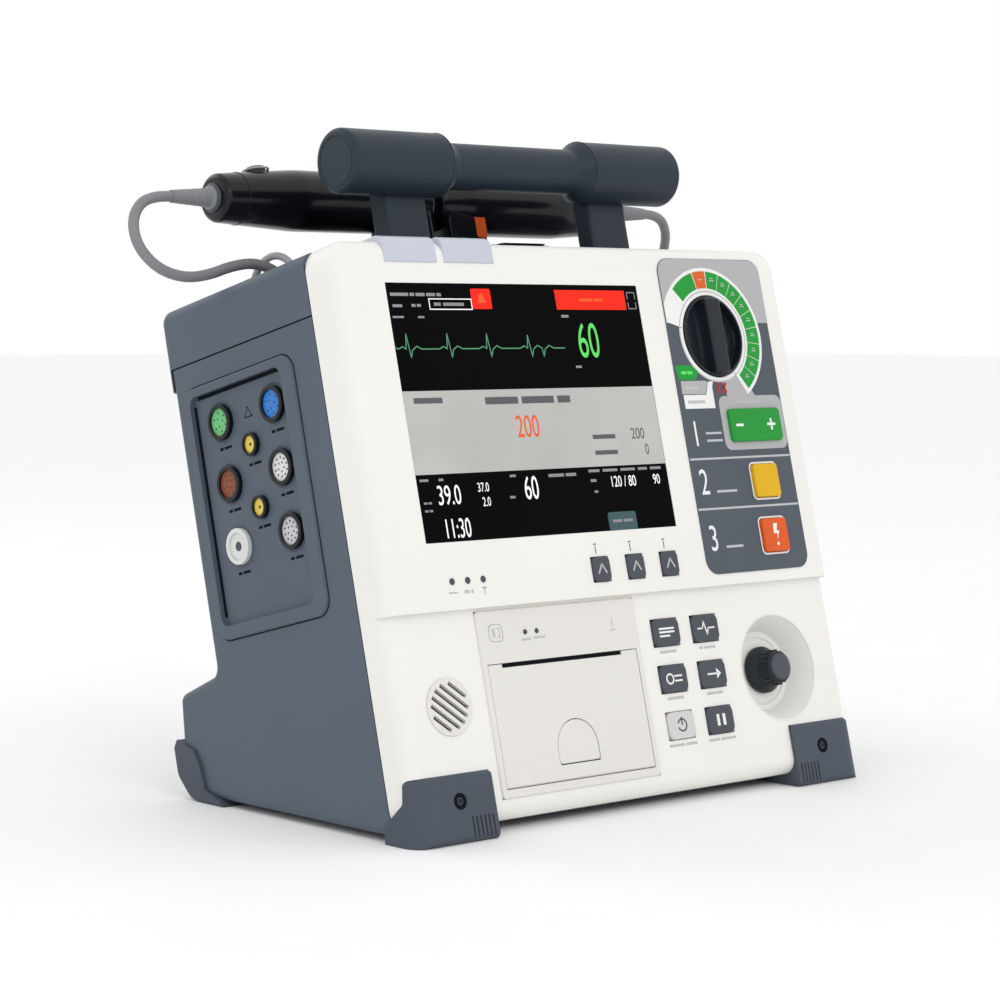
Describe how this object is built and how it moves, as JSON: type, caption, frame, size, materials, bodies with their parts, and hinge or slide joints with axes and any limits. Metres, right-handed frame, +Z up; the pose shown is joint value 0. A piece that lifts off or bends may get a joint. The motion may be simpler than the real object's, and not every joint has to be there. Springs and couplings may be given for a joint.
{
  "type": "defibrillator",
  "caption": "Portable defibrillator and patient monitor with carry handle, screen, mode dial, strip printer, side sockets and hand paddles on the lid.",
  "frame": {"origin": "centre of the bounding box, without the leads, on the surface that the feet stand on", "axes": "+Z up, -Y to the front where the screen is, +X to the right seen from the front"},
  "size_m": [0.3961, 0.2095, 0.3411],
  "materials": {
    "white_casing": "fine matte",
    "slate_casing": "fine matte",
    "dark_handle": "satin",
    "foot_rubber": "matte",
    "lamp_lens": "frosted",
    "screen_glass": "glossy black",
    "overlay_film": "satin film",
    "black_plastic": "gloss",
    "key_dark": "satin",
    "green_plastic": "satin",
    "yellow_plastic": "satin",
    "orange_plastic": "satin",
    "grey_plastic": "matte",
    "steel": "brushed",
    "chrome_plate": "polished",
    "board_green": "solder mask",
    "aluminium_can": "satin",
    "paper": "paper",
    "roller_rubber": "matte",
    "lead_rubber": "matte"
  },
  "bodies": {
    "housing": {"front_bezel": "white_casing", "rear_casing": "slate_casing", "top_cover": "slate_casing", "handle_grip": "dark_handle", "handle_posts": "dark_handle", "alarm_lamps": "lamp_lens", "display_window": "screen_glass", "lcd_module": "steel", "control_overlay": "overlay_film", "printer_frame": "white_casing", "speaker_grille": "white_casing", "speaker_driver": "black_plastic", "side_module_panel": "slate_casing", "socket_shells": "black_plastic", "socket_inserts": "grey_plastic", "paddle_tray": "black_plastic", "lead_glands": "grey_plastic", "lead_guides": "grey_plastic", "battery_pack": "key_dark", "battery_cover": "slate_casing", "mains_inlet": "black_plastic", "rear_port_plate": "steel", "circuit_boards": "board_green", "inner_chassis": "steel", "energy_capacitor": "aluminium_can", "switch_boards": "board_green", "front_feet": "foot_rubber", "rear_feet": "foot_rubber", "foot_screws": "steel", "paddle_lead_left": "lead_rubber", "paddle_lead_right": "lead_rubber"},
    "mode_dial": {"mode_dial": "black_plastic"},
    "nav_shaft": {"nav_shaft": "steel"},
    "nav_knob": {"nav_knob": "grey_plastic"},
    "energy_rocker": {"energy_rocker": "green_plastic"},
    "charge_button": {"charge_button": "yellow_plastic"},
    "shock_button": {"shock_button": "orange_plastic"},
    "soft_key_1": {"soft_key_1": "key_dark"},
    "soft_key_2": {"soft_key_2": "key_dark"},
    "soft_key_3": {"soft_key_3": "key_dark"},
    "function_key_1": {"function_key_1": "key_dark"},
    "function_key_2": {"function_key_2": "key_dark"},
    "function_key_3": {"function_key_3": "key_dark"},
    "function_key_4": {"function_key_4": "key_dark"},
    "function_key_5": {"function_key_5": "key_dark"},
    "function_key_6": {"function_key_6": "key_dark"},
    "printer_door": {"printer_door": "white_casing"},
    "door_latch": {"door_latch": "grey_plastic"},
    "platen_roller": {"platen_roller": "roller_rubber"},
    "paper_roll": {"paper_roll": "paper"},
    "paddle_left": {"paddle_handle_left": "black_plastic", "paddle_base_left": "black_plastic", "paddle_plate_left": "chrome_plate", "lead_boot_left": "lead_rubber"},
    "thumb_left": {"paddle_button_left": "key_dark"},
    "paddle_right": {"paddle_handle_right": "black_plastic", "paddle_base_right": "black_plastic", "paddle_plate_right": "chrome_plate", "lead_boot_right": "lead_rubber"},
    "thumb_right": {"paddle_button_right": "key_dark"}
  },
  "joints": [
    {"name": "dial_turn", "type": "hinge", "parent": "housing", "child": "mode_dial", "pos_m": [0.0954, -0.04865, 0.23724], "axis": [0, 0.9703, -0.2419], "range_deg": [-150, 150]},
    {"name": "nav_press", "type": "slide", "parent": "housing", "child": "nav_shaft", "axis": [0, 0.9703, -0.2419], "range_m": [0, 0.0006], "stiffness_N_per_m": 300},
    {"name": "nav_turn", "type": "hinge", "parent": "nav_shaft", "child": "nav_knob", "pos_m": [0.1069, -0.08228, 0.06104], "axis": [0, 0.9703, -0.2419], "continuous": true},
    {"name": "rocker_tilt", "type": "hinge", "parent": "housing", "child": "energy_rocker", "pos_m": [0.1158, -0.05903, 0.18943], "axis": [0, 0.2419, 0.9703], "range_deg": [-3, 3], "stiffness_Nm_per_rad": 0.3},
    {"name": "charge_button_press", "type": "slide", "parent": "housing", "child": "charge_button", "axis": [0, 0.9703, -0.2419], "range_m": [0, 0.0015], "stiffness_N_per_m": 250},
    {"name": "shock_button_press", "type": "slide", "parent": "housing", "child": "shock_button", "axis": [0, 0.9703, -0.2419], "range_m": [0, 0.0015], "stiffness_N_per_m": 250},
    {"name": "soft_key_1_press", "type": "slide", "parent": "housing", "child": "soft_key_1", "axis": [0, 0.9703, -0.2419], "range_m": [0, 0.0015], "stiffness_N_per_m": 250},
    {"name": "soft_key_2_press", "type": "slide", "parent": "housing", "child": "soft_key_2", "axis": [0, 0.9703, -0.2419], "range_m": [0, 0.0015], "stiffness_N_per_m": 250},
    {"name": "soft_key_3_press", "type": "slide", "parent": "housing", "child": "soft_key_3", "axis": [0, 0.9703, -0.2419], "range_m": [0, 0.0015], "stiffness_N_per_m": 250},
    {"name": "function_key_1_press", "type": "slide", "parent": "housing", "child": "function_key_1", "axis": [0, 0.9703, -0.2419], "range_m": [0, 0.0015], "stiffness_N_per_m": 250},
    {"name": "function_key_2_press", "type": "slide", "parent": "housing", "child": "function_key_2", "axis": [0, 0.9703, -0.2419], "range_m": [0, 0.0015], "stiffness_N_per_m": 250},
    {"name": "function_key_3_press", "type": "slide", "parent": "housing", "child": "function_key_3", "axis": [0, 0.9703, -0.2419], "range_m": [0, 0.0015], "stiffness_N_per_m": 250},
    {"name": "function_key_4_press", "type": "slide", "parent": "housing", "child": "function_key_4", "axis": [0, 0.9703, -0.2419], "range_m": [0, 0.0015], "stiffness_N_per_m": 250},
    {"name": "function_key_5_press", "type": "slide", "parent": "housing", "child": "function_key_5", "axis": [0, 0.9703, -0.2419], "range_m": [0, 0.0015], "stiffness_N_per_m": 250},
    {"name": "function_key_6_press", "type": "slide", "parent": "housing", "child": "function_key_6", "axis": [0, 0.9703, -0.2419], "range_m": [0, 0.0015], "stiffness_N_per_m": 250},
    {"name": "door_swing", "type": "hinge", "parent": "housing", "child": "printer_door", "pos_m": [-0.04695, -0.09753, 0.02259], "axis": [1, 0, 0], "range_deg": [0, 70]},
    {"name": "latch_swing", "type": "hinge", "parent": "printer_door", "child": "door_latch", "pos_m": [-0.0466, -0.09151, 0.04675], "axis": [-1, 0, 0], "range_deg": [0, 20], "stiffness_Nm_per_rad": 0.02},
    {"name": "platen_spin", "type": "hinge", "parent": "printer_door", "child": "platen_roller", "pos_m": [-0.04695, -0.07777, 0.07084], "axis": [1, 0, 0], "continuous": true},
    {"name": "paper_spin", "type": "hinge", "parent": "housing", "child": "paper_roll", "pos_m": [-0.04695, -0.06369, 0.04053], "axis": [1, 0, 0], "continuous": true},
    {"name": "paddle_left_lift", "type": "slide", "parent": "housing", "child": "paddle_left", "axis": [0, 0.2419, 0.9703], "range_m": [0, 0.09], "deforming": ["paddle_lead_left"]},
    {"name": "thumb_left_press", "type": "slide", "parent": "paddle_left", "child": "thumb_left", "axis": [0, -0.2419, -0.9703], "range_m": [0, 0.0015], "stiffness_N_per_m": 250},
    {"name": "paddle_right_lift", "type": "slide", "parent": "housing", "child": "paddle_right", "axis": [0, 0.2419, 0.9703], "range_m": [0, 0.09], "deforming": ["paddle_lead_right"]},
    {"name": "thumb_right_press", "type": "slide", "parent": "paddle_right", "child": "thumb_right", "axis": [0, -0.2419, -0.9703], "range_m": [0, 0.0015], "stiffness_N_per_m": 250}
  ]
}
